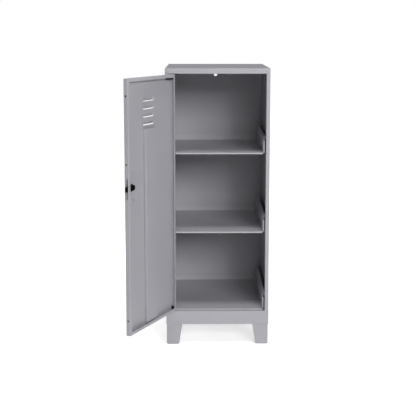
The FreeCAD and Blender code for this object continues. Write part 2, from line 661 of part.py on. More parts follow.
def hinge_pins():
    """The headed pins that the door turns on, one hanging from the cap, one standing in the base."""
    upper_seat = f"({CAP_BOTTOM} + sheet + plate)"
    lower_seat = f"({BASE_TOP} - sheet - plate)"
    spot = (PIN_X, PIN_Y)
    pivot_plate("top_pivot_plate", (f"{CAP_BOTTOM} + sheet", upper_seat))
    pivot_plate("bottom_pivot_plate", (lower_seat, f"{BASE_TOP} - sheet"))
    keep("hinge_pin_top", fuse("upper_pin",
         rod("upper_pin_head", "Z", spot, (upper_seat, f"{upper_seat} + pin_head_height"), "pin_head"),
         rod("upper_pin_shank", "Z", spot, (f"{DOOR_TOP} - pin_reach", upper_seat), "pin_radius")))
    keep("hinge_pin_bottom", fuse("lower_pin",
         rod("lower_pin_head", "Z", spot, (f"{lower_seat} - pin_head_height", lower_seat), "pin_head"),
         rod("lower_pin_shank", "Z", spot, (lower_seat, f"{DOOR_BOTTOM} + pin_reach"), "pin_radius")))


# Door -------------------------------------------------------------------------------------------

def louver(number):
    """One louver: a hood pressed outwards, and the hollow inside and below it."""
    slit = f"({DOOR_TOP} - louver_first - {number} * louver_pitch)"
    wide = "(louver_width / 2)"
    nose_x = (f"-({wide} - louver_taper)", f"{wide} - louver_taper")
    hood = wedge("louver_hood", (f"{FRONT} - louver_proud", f"{FRONT} + sheet / 2"),
                 (nose_x, (slit, f"{slit} + louver_nose")),
                 ((f"-{wide}", wide), (slit, f"{slit} + louver_height")))
    hollow_x = (f"-({wide} - louver_taper - sheet)", f"{wide} - louver_taper - sheet")
    hollow = wedge("louver_hollow", (f"{FRONT} - louver_proud + sheet", f"{FRONT} + sheet"),
                   (hollow_x, (slit, f"{slit} + louver_nose")),
                   ((f"-({wide} - sheet)", f"{wide} - sheet"), (slit, f"{slit} + louver_height - sheet")))
    hood = soften(hood, "louver_round", [("y", f"{FRONT} + sheet / 2"), ("z", slit)])
    hollow = soften(hollow, "louver_round - sheet", [("y", f"{FRONT} + sheet"), ("z", slit)])
    mouth = wedge("louver_mouth", (f"{FRONT} - louver_proud - sheet", FRONT),
                  ((f"-{wide} - sheet", f"{wide} + sheet"), (f"{slit} - sheet", f"{slit} + louver_lift")),
                  ((f"-{wide} - sheet", f"{wide} + sheet"), (f"{slit} - sheet", slit)))
    return hood, hollow, mouth


def bumper_heights():
    """One bumper is set out from the top of the door, one over the lock, one from the bottom."""
    return (f"({DOOR_TOP} - bumper_first)", f"({LOCK_Z} + bumper_over_lock)",
            f"({DOOR_BOTTOM} + bumper_last)")


def screw_spots():
    """The two handle screws, above and below the lock and a little nearer the hinge."""
    return [(f"({LOCK_X} - screw_inset)", f"({HANDLE_Z} + {sign} * screw_pitch / 2)") for sign in (-1, 1)]


def door_panel():
    """The door leaf: a sheet pan with inner lips, louvers and the holes for its fittings."""
    x = (f"-{DOOR_EDGE}", DOOR_EDGE)
    z = (DOOR_BOTTOM, DOOR_TOP)
    shell = pan("door_shell", x, (FRONT, DOOR_BACK), z)
    hoods, hollows, mouths = zip(*(louver(number) for number in range(4)))
    opening = box("door_opening", (f"-{DOOR_EDGE} + door_lip", f"{DOOR_EDGE} - door_lip"),
                  (f"{DOOR_BACK} - 2 * sheet", f"{DOOR_BACK} + sheet"),
                  (f"{DOOR_BOTTOM} + door_lip", f"{DOOR_TOP} - door_lip"))
    edge = (f"{DOOR_EDGE} - 2 * sheet", f"{DOOR_EDGE} + sheet")
    slot_end = "(slot_height / 2 - slot_width / 2)"
    tools = [opening, *hollows, *mouths,
             box("tongue_slot", edge, (f"{CAM_MIDDLE} - slot_width / 2", f"{CAM_MIDDLE} + slot_width / 2"),
                 (f"{LOCK_Z} - {slot_end}", f"{LOCK_Z} + {slot_end}"))]
    for sign in ("-", "+"):
        spot = (CAM_MIDDLE, f"{LOCK_Z} {sign} {slot_end}")
        tools.append(rod("slot_end", "X", spot, edge, "slot_width / 2"))
    for height in bumper_heights():
        tools.append(rod("bumper_hole", "X", (f"{FRONT} + bumper_depth", height), edge, "bumper_stem + seat"))
    skin = (f"{FRONT} - sheet", f"{FRONT} + 2 * sheet")
    tools.append(rod("barrel_hole", "Y", (LOCK_X, LOCK_Z), skin, "barrel_radius + seat"))
    for spot in screw_spots():
        tools.append(rod("handle_hole", "Y", spot, skin, "screw_radius + seat"))
    tools.append(rod("upper_hole", "Z", (PIN_X, PIN_Y), (f"{DOOR_TOP} - 2 * sheet", f"{DOOR_TOP} + sheet"),
                     "pin_radius + slip"))
    tools.append(rod("lower_hole", "Z", (PIN_X, PIN_Y),
                     (f"{DOOR_BOTTOM} - sheet", f"{DOOR_BOTTOM} + 2 * sheet"), "bush_radius"))
    hang("door_panel", cut("door_leaf", fuse("door_skin", shell, *hoods), *tools))


def door_stiffener():
    """A wide channel welded inside the door by its turned-in feet."""
    half = "(rib_width / 2)"
    top = f"({FRONT} + rib_depth)"
    foot = f"({half} - rib_foot)"
    right = [(foot, SKIN_BACK), (half, SKIN_BACK, "bend"), (half, top, "bend")]
    inner = [(f"{half} - sheet", f"{top} - sheet", "bend - sheet"),
             (f"{half} - sheet", f"{SKIN_BACK} + sheet", "bend - sheet"), (foot, f"{SKIN_BACK} + sheet")]
    left = [(f"-({corner[0]})",) + corner[1:] for corner in reversed(right)]
    inner_left = [(f"-({corner[0]})",) + corner[1:] for corner in reversed(inner)]
    span = (f"{DOOR_BOTTOM} + rib_bottom", f"{DOOR_TOP} - rib_top")
    hang("door_stiffener", folded("rib", "XY", right + left + inner_left + inner, span))


def pivot_fittings():
    """Nylon bearings that are fixed in the door and turn on the pins."""
    under_top = f"({DOOR_TOP} - sheet)"
    block_end = f"-{DOOR_EDGE} + sheet + seat"
    block = rounded_box("block_blank", (block_end, f"{block_end} + block_length"),
                        (f"{SKIN_BACK} + seat", f"{DOOR_BACK} - sheet - seat"),
                        (f"{under_top} - block_height", under_top), "bend / 2")
    bore = rod("block_bore", "Z", (PIN_X, PIN_Y), (f"{DOOR_TOP} - pin_reach - slip", "height"),
               "pin_radius + pin_fit")
    hang("top_pivot_block", cut("block_bored", block, bore))
    collar = rod("bush_collar", "Z", (PIN_X, PIN_Y), (f"{BASE_TOP} + slip", DOOR_BOTTOM), "collar_radius")
    sleeve = rod("bush_sleeve", "Z", (PIN_X, PIN_Y), (DOOR_BOTTOM, f"{DOOR_BOTTOM} + bush_height"),
                 "bush_radius - pin_fit")
    bore = rod("bush_bore", "Z", (PIN_X, PIN_Y), (BASE_TOP, f"{DOOR_BOTTOM} + pin_reach + slip"),
               "pin_radius + pin_fit")
    hang("bottom_pivot_bush", cut("bush_bored", fuse("bush_blank", collar, sleeve), bore))


def pull_handle():
    """A moulded pull on the face of the door, hollowed on its hinge side for the fingers."""
    wide = "(handle_width / 2)"
    tall = "(handle_height / 2)"
    body = wedge("handle_body", (HANDLE_FACE, FRONT),
                 ((f"{LOCK_X} - {wide} + handle_taper", f"{LOCK_X} + {wide} - handle_taper"),
                  (f"{HANDLE_Z} - {tall} + handle_end_taper", f"{HANDLE_Z} + {tall} - handle_end_taper")),
                 ((f"{LOCK_X} - {wide}", f"{LOCK_X} + {wide}"),
                  (f"{HANDLE_Z} - {tall}", f"{HANDLE_Z} + {tall}")))
    soft = soften(body, "handle_round", [("y", FRONT)])
    recess = box("finger_recess",
                 (f"{LOCK_X} - {wide} - recess_depth", f"{LOCK_X} - {wide} + recess_depth"),
                 (f"{HANDLE_FACE} + recess_lip", f"{FRONT} - recess_floor"),
                 (f"{HANDLE_Z} - recess_height / 2", f"{HANDLE_Z} + recess_height / 2"))
    bore = rod("handle_bore", "Y", (LOCK_X, LOCK_Z), (f"{HANDLE_FACE} - sheet", f"{FRONT} + sheet"),
               "barrel_radius + seat")
    pilots = [rod("pilot", "Y", spot, (f"{FRONT} - screw_bite", f"{FRONT} + sheet"), "screw_radius")
              for spot in screw_spots()]
    hang("pull_handle", cut("handle_cut", soft, recess, bore, *pilots))


def handle_screws():
    """Two screws from inside the door into the handle."""
    screws = []
    for spot in screw_spots():
        head = rod("screw_head", "Y", spot, (SKIN_BACK, f"{SKIN_BACK} + screw_head_height"), "screw_head")
        shank = rod("screw_shank", "Y", spot, (f"{FRONT} - screw_bite", SKIN_BACK), "screw_radius")
        screws.append(fuse("handle_screw", head, shank))
    hang("handle_screws", group("handle_screw_group", screws))


def edge_bumpers():
    """Rubber buttons pressed into the door's free edge, to quieten it against the stile."""
    buttons = []
    for height in bumper_heights():
        spot = (f"{FRONT} + bumper_depth", height)
        button = rod("bumper_button", "X", spot, (DOOR_EDGE, f"{DOOR_EDGE} + bumper_proud"), "bumper_radius")
        stem = rod("bumper_stem_rod", "X", spot, (f"{DOOR_EDGE} - 4 * sheet", DOOR_EDGE), "bumper_stem")
        buttons.append(fuse("bumper", button, stem))
    hang("edge_bumpers", group("bumper_group", buttons))


# Lock -------------------------------------------------------------------------------------------

LOCK_FACE = f"({HANDLE_FACE} - rose_height)"


def lock_fixed():
    """The lock's barrel with its rim, and the nut that clamps it to the door."""
    spot = (LOCK_X, LOCK_Z)
    rim = rod("lock_rim", "Y", spot, (LOCK_FACE, HANDLE_FACE), "rose_radius")
    barrel = rod("lock_barrel", "Y", spot, (HANDLE_FACE, f"{FRONT} + barrel_inside"), "barrel_radius")
    bore = rod("lock_bore", "Y", spot, (f"{LOCK_FACE} - slip", f"{FRONT} + barrel_inside + slip"),
               "plug_radius + pin_fit")
    hang("lock_housing", cut("lock_bored", fuse("lock_blank", rim, barrel), bore))
    blank = hexagon("lock_nut_blank", "Y", spot, (SKIN_BACK, f"{SKIN_BACK} + lock_nut_height"),
                    "lock_nut_across")
    thread = rod("lock_nut_bore", "Y", spot, (FRONT, CAM_FRONT), "barrel_radius + pin_fit")
    hang("lock_nut", cut("lock_nut_bored", blank, thread))


def lock_plug():
    """The part that the key turns: a plug with a keyway, and a square end for the cam."""
    spot = (LOCK_X, LOCK_Z)
    plug = rod("plug_round", "Y", spot, (LOCK_FACE, CAM_FRONT), "plug_radius")
    square = box("plug_square", (f"{LOCK_X} - drive / 2", f"{LOCK_X} + drive / 2"), (CAM_FRONT, CAM_BACK),
                 (f"{LOCK_Z} - drive / 2", f"{LOCK_Z} + drive / 2"))
    keyway = box("keyway", (f"{LOCK_X} - key_width / 2", f"{LOCK_X} + key_width / 2"),
                 (f"{LOCK_FACE} - slip", f"{LOCK_FACE} + key_deep"),
                 (f"{LOCK_Z} - key_height / 2", f"{LOCK_Z} + key_height / 2"))
    thread = rod("plug_thread", "Y", spot, (f"{CAM_BACK} - cam_screw_length - slip", f"{CAM_BACK} + slip"),
                 "cam_screw_radius")
    hang("lock_plug", cut("plug_cut", fuse("plug_blank", plug, square), keyway, thread))


def latch_cam():
    """The cam: a round hub on the plug's square end and an arm that ends in the tongue."""
    arm = [("0", "hub_radius"), ("2 * cam_reach / 3 - hub_radius / 2", "cam_half"),
           ("cam_shoulder", "cam_half"), ("cam_shoulder + cam_half - tongue_half", "tongue_half"),
           ("cam_reach", "tongue_half")]
    upper = [(f"{LOCK_X} + {x}", f"{LOCK_Z} + {z}") for x, z in arm]
    lower = [(f"{LOCK_X} + {x}", f"{LOCK_Z} - {z}") for x, z in reversed(arm)]
    blade = folded("cam_blade", "XZ", upper + lower, (CAM_FRONT, CAM_BACK))
    hub = rod("cam_hub", "Y", (LOCK_X, LOCK_Z), (CAM_FRONT, CAM_BACK), "hub_radius")
    hole = box("cam_hole", (f"{LOCK_X} - drive / 2 - pin_fit", f"{LOCK_X} + drive / 2 + pin_fit"),
               (f"{CAM_FRONT} - slip", f"{CAM_BACK} + slip"),
               (f"{LOCK_Z} - drive / 2 - pin_fit", f"{LOCK_Z} + drive / 2 + pin_fit"))
    hang("latch_cam", cut("cam_cut", fuse("cam_blank", blade, hub), hole))


def cam_screw():
    """The screw that keeps the cam on the plug."""
    spot = (LOCK_X, LOCK_Z)
    head = rod("cam_screw_top", "Y", spot, (CAM_BACK, f"{CAM_BACK} + cam_screw_head_height"),
               "cam_screw_head")
    shank = rod("cam_screw_shank", "Y", spot, (f"{CAM_BACK} - cam_screw_length", CAM_BACK),
                "cam_screw_radius")
    hang("cam_screw", fuse("cam_screw_whole", head, shank))


# Assembly ---------------------------------------------------------------------------------------

SIDES = (("left", -1), ("right", 1))
ENDS = (("front", -1), ("rear", 1))
SHELVES = ("lower", "upper")

top_cap()
for end_name, end in ENDS:
    base_channel(f"base_{end_name}", end)
for side_name, side in SIDES:
    base_side(f"base_{side_name}", side)
    side_panel(f"side_panel_{side_name}", side)
back_panel()
back_panel_screws()
floor_pan()
for number, shelf_name in enumerate(SHELVES, 1):
    level = f"({FLOOR_Z} + {number} * shelf_pitch)"
    shelf(f"{shelf_name}_shelf", level)
    for side_name, side in SIDES:
        shelf_rail(f"{shelf_name}_shelf_rail_{side_name}", side, level)
for end_name, end in ENDS:
    for side_name, side in SIDES:
        leg(f"leg_{end_name}_{side_name}", side, end)
        foot_pad(f"foot_pad_{end_name}_{side_name}", side, end)
leg_fasteners()
hinge_pins()
door_panel()
door_stiffener()
pivot_fittings()
pull_handle()
handle_screws()
edge_bumpers()
lock_fixed()
lock_plug()
latch_cam()
cam_screw()
document.recompute()

failed = [piece.Name for piece in document.Objects if {"Invalid", "Error"} & set(piece.State)]
failed += [label for label, piece in nodes.items() if piece.Shape.isNull() or not piece.Shape.isValid()]
if failed:
    raise RuntimeError("not built: " + ", ".join(failed))

os.makedirs("parts", exist_ok=True)
for label, piece in nodes.items():
    piece.Shape.exportStep(f"parts/{label}.step")
    print(f"{label}: {len(piece.Shape.Solids)} solid(s), {piece.Shape.Volume:.0f} mm3")
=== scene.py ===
# A free-standing steel storage locker with its door open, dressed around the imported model.
# Everything is in metres in the model's own frame: +Z up, the door side facing -Y.
import json
import math

import bmesh
import bpy
from mathutils import Euler, Matrix, Vector


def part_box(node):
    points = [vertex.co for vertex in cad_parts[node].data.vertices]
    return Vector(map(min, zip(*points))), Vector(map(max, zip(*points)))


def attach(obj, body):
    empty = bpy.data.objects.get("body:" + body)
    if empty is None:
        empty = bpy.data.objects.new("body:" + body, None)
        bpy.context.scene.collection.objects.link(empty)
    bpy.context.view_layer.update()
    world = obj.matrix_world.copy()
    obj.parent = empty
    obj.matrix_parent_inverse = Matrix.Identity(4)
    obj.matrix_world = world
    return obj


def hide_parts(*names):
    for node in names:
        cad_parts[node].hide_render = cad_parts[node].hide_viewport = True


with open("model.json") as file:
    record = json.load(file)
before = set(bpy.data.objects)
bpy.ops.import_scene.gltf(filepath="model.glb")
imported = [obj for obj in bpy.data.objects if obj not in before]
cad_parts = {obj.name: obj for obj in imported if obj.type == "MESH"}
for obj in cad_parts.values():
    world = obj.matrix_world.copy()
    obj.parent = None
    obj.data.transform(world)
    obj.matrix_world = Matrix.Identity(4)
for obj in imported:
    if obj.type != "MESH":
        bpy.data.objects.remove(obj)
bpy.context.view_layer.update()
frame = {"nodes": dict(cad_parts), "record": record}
nodes = frame["nodes"]


# Camera -----------------------------------------------------------------------------------------
# A long lens at chest height, a little left of the cabinet's middle and looking slightly down, with
# a small shift that keeps the sides of the cabinet near upright.

EYE = (-0.0667, -3.7542, 1.1642)
PITCH_DOWN = math.radians(8.468)
TURN_RIGHT = math.radians(0.519)

camera = bpy.data.objects.new("camera", bpy.data.cameras.new("camera"))
bpy.context.scene.collection.objects.link(camera)
camera.data.lens = 84.64
camera.data.shift_y = -0.08
camera.data.clip_end = 60
camera.location = EYE
camera.rotation_euler = Euler((math.pi / 2 - PITCH_DOWN, 0, -TURN_RIGHT))
bpy.context.scene.camera = camera


# Studio -----------------------------------------------------------------------------------------
# A white floor that runs out to a white background, and large soft boxes all round, hung higher than
# the cabinet: the strongest is in front, a little to the right. The floor glows a little, so that it
# stays white round the cabinet.

def linear(hex_colour):
    """The linear colour of an sRGB hex value such as "a0a0a5"."""
    channels = [int(hex_colour[i:i + 2], 16) / 255 for i in (0, 2, 4)]
    return [c / 12.92 if c <= 0.04045 else ((c + 0.055) / 1.055) ** 2.4 for c in channels] + [1.0]


def add(tree, kind, settings=None, **links):
    """Adds a shader node: settings are properties or input values, links feed inputs from sockets."""
    node = tree.nodes.new(kind)
    for name, value in (settings or {}).items():
        if name in node.inputs:
            node.inputs[name].default_value = value
        else:
            setattr(node, name, value)
    for name, socket in links.items():
        tree.links.new(socket, node.inputs[name.replace("_", " ")])
    return node


def new_material(name):
    """An empty node material and its node tree."""
    material = bpy.data.materials.new(name)
    material.use_nodes = True
    material.node_tree.nodes.clear()
    return material, material.node_tree


def new_piece(name, mesh):
    """Links a mesh to the scene as a piece."""
    piece = bpy.data.objects.new(name, mesh)
    bpy.context.scene.collection.objects.link(piece)
    return piece


FLOOR_SPAN = 40.0
FLOOR_GLOW = 0.12        # light that the floor gives the cabinet
FLOOR_NEAR = 0.58        # the glow that the camera sees by the cabinet, where its shadow shows
FLOOR_FAR = 1.0          # and further off, where the floor runs into the white background
NEAR_END, FAR_START = 0.35, 1.0   # metres from the middle of the cabinet

floor_mesh = bpy.data.meshes.new("studio_floor")
half = FLOOR_SPAN / 2
floor_corners = [(-half, -half, 0), (half, -half, 0), (half, half, 0), (-half, half, 0)]
floor_mesh.from_pydata(floor_corners, [], [(0, 1, 2, 3)])
floor = new_piece("studio_floor", floor_mesh)
# Matt white emulsion: no reflection of the cabinet, only its soft shadow.
floor_paint, tree = new_material("matt_white_floor")
place = add(tree, "ShaderNodeTexCoord").outputs["Object"]
grain = add(tree, "ShaderNodeTexNoise", {"Scale": 3.0, "Detail": 4.0}, Vector=place)
tone = add(tree, "ShaderNodeMapRange", {"To Min": 0.80, "To Max": 0.82}, Value=grain.outputs["Fac"])
colour = add(tree, "ShaderNodeCombineColor", Red=tone.outputs["Result"], Green=tone.outputs["Result"],
             Blue=tone.outputs["Result"])
away = add(tree, "ShaderNodeVectorMath", {"operation": "LENGTH"}, Vector=place)
paling = add(tree, "ShaderNodeMapRange", {"From Min": NEAR_END, "From Max": FAR_START,
                                          "To Min": FLOOR_NEAR, "To Max": FLOOR_FAR},
             Value=away.outputs["Value"])
ray = add(tree, "ShaderNodeLightPath")
glow = add(tree, "ShaderNodeMix", {"A": FLOOR_GLOW}, Factor=ray.outputs["Is Camera Ray"],
           B=paling.outputs["Result"])
shader = add(tree, "ShaderNodeBsdfPrincipled", {"Roughness": 0.9, "Emission Color": (1, 1, 1, 1)},
             Base_Color=colour.outputs["Color"], Emission_Strength=glow.outputs["Result"])
add(tree, "ShaderNodeOutputMaterial", Surface=shader.outputs["BSDF"])
floor_mesh.materials.append(floor_paint)

# What the camera sees past the floor is plain white; the room's own light is nil.
ROOM_LIGHT = 0.0
BACKDROP = 1.0
world = bpy.data.worlds.new("studio")
bpy.context.scene.world = world
world.use_nodes = True
tree = world.node_tree
tree.nodes.clear()
room = add(tree, "ShaderNodeBackground", {"Color": (1, 1, 1, 1), "Strength": ROOM_LIGHT})
backdrop = add(tree, "ShaderNodeBackground", {"Color": (1, 1, 1, 1), "Strength": BACKDROP})
ray = add(tree, "ShaderNodeLightPath")
seen = add(tree, "ShaderNodeMixShader", Fac=ray.outputs["Is Camera Ray"])
tree.links.new(room.outputs["Background"], seen.inputs[1])
tree.links.new(backdrop.outputs["Background"], seen.inputs[2])
add(tree, "ShaderNodeOutputWorld", Surface=seen.outputs["Shader"])


AIM = Vector((0, 0, 0.5))   # the middle of the cabinet


def soft_box(name, azimuth, elevation, distance, width, height, power):
    """A rectangular lamp aimed at the cabinet; azimuth 0 is in front, positive to the right."""
    lamp = bpy.data.objects.new(name, bpy.data.lights.new(name, "AREA"))
    bpy.context.scene.collection.objects.link(lamp)
    lamp.data.shape = "RECTANGLE"
    lamp.data.size = width
    lamp.data.size_y = height
    lamp.data.energy = power
    a, e = math.radians(azimuth), math.radians(elevation)
    away = Vector((math.sin(a) * math.cos(e), -math.cos(a) * math.cos(e), math.sin(e)))
    lamp.location = AIM + away * distance
    lamp.rotation_euler = (-away).to_track_quat("-Z", "Y").to_euler()


# Degrees round and up, then distance, width and height in metres, and power in watts.
soft_box("key", 24, 19, 9.0, 3.4, 2.4, 325)
soft_box("front", 8, 20, 9.0, 3.0, 2.6, 175)
soft_box("high_front", 0, 72, 9.0, 3.0, 2.0, 245)
soft_box("right_side", 70, 30, 9.0, 3.0, 3.0, 30)
soft_box("overhead", 0, 88, 3.2, 2.5, 2.5, 34)
soft_box("rear_left", -125, 14, 9.0, 3.0, 3.0, 300)
soft_box("rear_right", 125, 14, 9.0, 3.0, 3.0, 190)
bpy.context.scene.view_settings.view_transform = "Standard"


# Cabinet shell, base, trays, legs and door leaf -------------------------------------------------
# All of them are 0.8 to 1.2 mm cold rolled steel sheet, laser cut and folded on a press brake, spot
# welded, and powder coated in satin grey along with the 3 mm plates that hold the hinge pins. The
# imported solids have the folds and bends.

MM = 0.001
# Powder coat is a cured polyester film: it gives a satin gloss with a fine orange peel, is a shade
# uneven where it flowed, and shows the slow waves of thin sheet in its reflections.
PEEL = 1.6 * MM          # spacing of the orange peel; the real one is nearer 0.8 mm, too fine to show
PEEL_DEPTH = 0.05 * MM
FLOW = 60 * MM           # spacing of the uneven flow
SHEET_WAVE = 180 * MM    # spacing of the waves in thin sheet
WAVE_DEPTH = 0.25 * MM


def two_tone(tree, factor, colour, lighter):
    """A colour that varies between two hex values with a factor socket."""
    mix = add(tree, "ShaderNodeMix", {"data_type": "RGBA"}, Factor=factor)
    mix.inputs[6].default_value = linear(colour)
    mix.inputs[7].default_value = linear(lighter)
    return mix.outputs[2]


def powder_coat(name, colour, lighter, roughness):
    """Satin powder coat over sheet steel."""
    material, tree = new_material(name)
    place = add(tree, "ShaderNodeTexCoord").outputs["Object"]
    flow = add(tree, "ShaderNodeTexNoise", {"Scale": 1 / FLOW, "Detail": 3.0, "Roughness": 0.6}, Vector=place)
    tint = two_tone(tree, flow.outputs["Fac"], colour, lighter)
    gloss = add(tree, "ShaderNodeMapRange", {"To Min": roughness - 0.04, "To Max": roughness + 0.05},
                Value=flow.outputs["Fac"])
    peel = add(tree, "ShaderNodeTexNoise", {"Scale": 1 / PEEL, "Detail": 1.0}, Vector=place)
    wave = add(tree, "ShaderNodeTexNoise", {"Scale": 1 / SHEET_WAVE, "Detail": 1.0}, Vector=place)
    slow = add(tree, "ShaderNodeBump", {"Strength": 0.4, "Distance": WAVE_DEPTH}, Height=wave.outputs["Fac"])
    fine = add(tree, "ShaderNodeBump", {"Strength": 0.12, "Distance": PEEL_DEPTH},
               Height=peel.outputs["Fac"], Normal=slow.outputs["Normal"])
    shader = add(tree, "ShaderNodeBsdfPrincipled", {"Metallic": 0.0, "IOR": 1.5}, Base_Color=tint,
                 Roughness=gloss.outputs["Result"], Normal=fine.outputs["Normal"])
    add(tree, "ShaderNodeOutputMaterial", Surface=shader.outputs["BSDF"])
    return material


def finish(name, material):
    """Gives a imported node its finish."""
    nodes[name].data.materials.clear()
    nodes[name].data.materials.append(material)


grey_coat = powder_coat("satin_grey_powder_coat", "a5a4aa", "a9a8ae", 0.42)
SHEET_PARTS = ["top_cap", "base_front", "base_rear", "base_left", "base_right", "side_panel_left",
               "side_panel_right", "back_panel", "door_panel", "door_stiffener", "top_pivot_plate",
               "bottom_pivot_plate"]
for side in ("left", "right"):
    SHEET_PARTS += [f"{shelf}_shelf_rail_{side}" for shelf in ("lower", "upper")]
    SHEET_PARTS += [f"leg_{end}_{side}" for end in ("front", "rear")]
for name in SHEET_PARTS:
    finish(name, grey_coat)

# The trays take the same powder coat, a shade lighter and smoother: the lighter tone is painted light,
# standing in for more light falling on the trays.
lighter_tray_coat_painted_light = powder_coat("satin_grey_tray_coat_painted_light", "aaa9ae", "aeadb2", 0.38)
for name in ("floor_pan", "lower_shelf", "upper_shelf"):
    finish(name, lighter_tray_coat_painted_light)


# Glides -----------------------------------------------------------------------------------------
# A flat pad under each leg, moulded in dark grey polyethylene and clipped to the foot plate, so that
# the cabinet slides without scratching the floor.

# Moulded polyethylene is waxy: dark, soft in its highlights, with a faint grain from the mould.
MOULD_GRAIN = 1.2 * MM   # spacing of the mould's grain; the real one is half of that, too fine to show
MOULD_CLOUD = 15 * MM    # spacing of the uneven colour and gloss


def moulded(name, colour, lighter, roughness, specular, grain_depth):
    """A moulded plastic or rubber with the fine grain of its mould."""
    material, tree = new_material(name)
    place = add(tree, "ShaderNodeTexCoord").outputs["Object"]
    spark = add(tree, "ShaderNodeTexVoronoi", {"Scale": 1 / MOULD_GRAIN}, Vector=place)
    cloud = add(tree, "ShaderNodeTexNoise", {"Scale": 1 / MOULD_CLOUD, "Detail": 3.0}, Vector=place)
    tint = two_tone(tree, cloud.outputs["Fac"], colour, lighter)
    gloss = add(tree, "ShaderNodeMapRange", {"To Min": roughness - 0.05, "To Max": roughness + 0.05},
                Value=cloud.outputs["Fac"])
    bump = add(tree, "ShaderNodeBump", {"Strength": 0.5, "Distance": grain_depth},
               Height=spark.outputs["Distance"])
    shader = add(tree, "ShaderNodeBsdfPrincipled", {"IOR": 1.5, "Specular IOR Level": specular},
                 Base_Color=tint, Roughness=gloss.outputs["Result"], Normal=bump.outputs["Normal"])
    add(tree, "ShaderNodeOutputMaterial", Surface=shader.outputs["BSDF"])
    return material


glide_plastic = moulded("moulded_polyethylene", "3a3a3c", "444446", 0.55, 0.4, 0.03 * MM)
GLIDE_CORNER = 5 * MM
GLIDE_RIM = 0.6 * MM


def as_mesh(work):
    """Turns a bmesh into a mesh with outward normals."""
    bmesh.ops.recalc_face_normals(work, faces=work.faces)
    mesh = bpy.data.meshes.new("part")
    work.to_mesh(mesh)
    work.free()
    return mesh


HAIR = 0.001 * MM        # less than this apart counts as the same


def plate(outline, low, high, bevel=0.0):
    """A flat mesh of constant thickness from an outline of (x, y) points, its rims softened."""
    work = bmesh.new()
    base = work.faces.new([work.verts.new((x, y, low)) for x, y in outline])
    top = bmesh.ops.extrude_face_region(work, geom=[base])["geom"]
    for vert in (part for part in top if isinstance(part, bmesh.types.BMVert)):
        vert.co.z = high
    if bevel:
        rims = [edge for edge in work.edges if abs(edge.verts[0].co.z - edge.verts[1].co.z) < HAIR]
        bmesh.ops.bevel(work, geom=rims, offset=bevel, segments=3, profile=0.5, affect="EDGES")
    return as_mesh(work)


def rounded_square(half, corner, steps=6):
    """Points round a square with rounded corners."""
    points = []
    for quarter in range(4):
        turn = math.radians(90 * quarter)
        middle = Matrix.Rotation(turn, 2) @ Vector((half - corner, half - corner))
        for step in range(steps + 1):
            angle = turn + math.radians(90 * step / steps)
            points.append((middle.x + corner * math.cos(angle), middle.y + corner * math.sin(angle)))
    return points


def repeated(name, mesh, places, material, body, node, sharp=35):
    """A piece made of one mesh at several places; it rides on a body and stands for a node."""
    work = bmesh.new()
    for place in places:
        first = len(work.verts)
        work.from_mesh(mesh)
        work.verts.ensure_lookup_table()
        bmesh.ops.transform(work, matrix=place, verts=work.verts[first:])
    whole = as_mesh(work)
    whole.shade_smooth()
    whole.set_sharp_from_angle(angle=math.radians(sharp))
    whole.materials.clear()
    whole.materials.append(material)
    piece = new_piece(name, whole)
    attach(piece, body)
    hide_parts(node)
    return piece


for name in nodes:
    if name.startswith("foot_pad_"):
        low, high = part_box(name)
        glide = plate(rounded_square((high.x - low.x) / 2, GLIDE_CORNER), low.z, high.z, bevel=GLIDE_RIM)
        middle = (low + high) / 2
        place = Matrix.Translation((middle.x, middle.y, 0))
        repeated(f"{name}_glide", glide, [place], glide_plastic, "cabinet", name)


# Leg bolts and nuts -----------------------------------------------------------------------------
# M6 hexagon bolts dropped through the base channels into each leg's top plate, and nuts below, cold
# headed in steel with the corners of the hexagons chamfered, then zinc plated.

def solid_boxes(name, place=Matrix()):
    """The lowest and highest corners of each separate solid of a node, in the frame that place leads from."""
    work = bmesh.new()
    work.from_mesh(nodes[name].data)
    bmesh.ops.remove_doubles(work, verts=work.verts, dist=HAIR)
    work.transform(place.inverted())
    boxes = []
    unseen = set(work.verts)
    while unseen:
        edge_of_patch = [unseen.pop()]
        patch = []
        while edge_of_patch:
            vert = edge_of_patch.pop()
            patch.append(vert.co.copy())
            for edge in vert.link_edges:
                other = edge.other_vert(vert)
                if other in unseen:
                    unseen.remove(other)
                    edge_of_patch.append(other)
        boxes.append((Vector([min(spot[i] for spot in patch) for i in range(3)]),
                      Vector([max(spot[i] for spot in patch) for i in range(3)])))
    work.free()
    return sorted(boxes, key=lambda box: (round(box[0].z, 4), round(box[0].x, 4), round(box[0].y, 4)))


def turned(outline, turns=48, ring=False):
    """A round mesh about Z from (radius, height) points; ring joins the last point to the first."""
    work = bmesh.new()
    rings = []
    for radius, height in outline:
        angles = [2 * math.pi * step / turns for step in range(turns)]
        rings.append([work.verts.new((radius * math.cos(a), radius * math.sin(a), height)) for a in angles])
    pairs = list(zip(rings, rings[1:])) + ([(rings[-1], rings[0])] if ring else [])
    for low, high in pairs:
        for step in range(turns):
            after = (step + 1) % turns
            work.faces.new((low[step], low[after], high[after], high[step]))
    if not ring:
        work.faces.new(list(reversed(rings[0])))
        work.faces.new(rings[-1])
    return as_mesh(work)


def with_modifier(mesh, kind, **settings):
    """A mesh as a modifier leaves it."""
    blank = new_piece("blank", mesh)
    modifier = blank.modifiers.new(kind, kind)
    for name, value in settings.items():
        setattr(modifier, name, value)
    bpy.context.view_layer.update()
    result = bpy.data.meshes.new_from_object(blank.evaluated_get(bpy.context.evaluated_depsgraph_get()))
    bpy.data.objects.remove(blank)
    return result


def cut(mesh, cutter, operation="DIFFERENCE"):
    """A mesh with another taken out of it, or INTERSECT: what both share."""
    tool = new_piece("cutter", cutter)
    result = with_modifier(mesh, "BOOLEAN", object=tool, operation=operation, solver="EXACT")
    bpy.data.objects.remove(tool)
    return result


ZINC_CLOUD = 4 * MM      # spacing of the clouds in the plating
ZINC_GRAIN = 0.5 * MM    # spacing of its crystals; the real ones are far finer


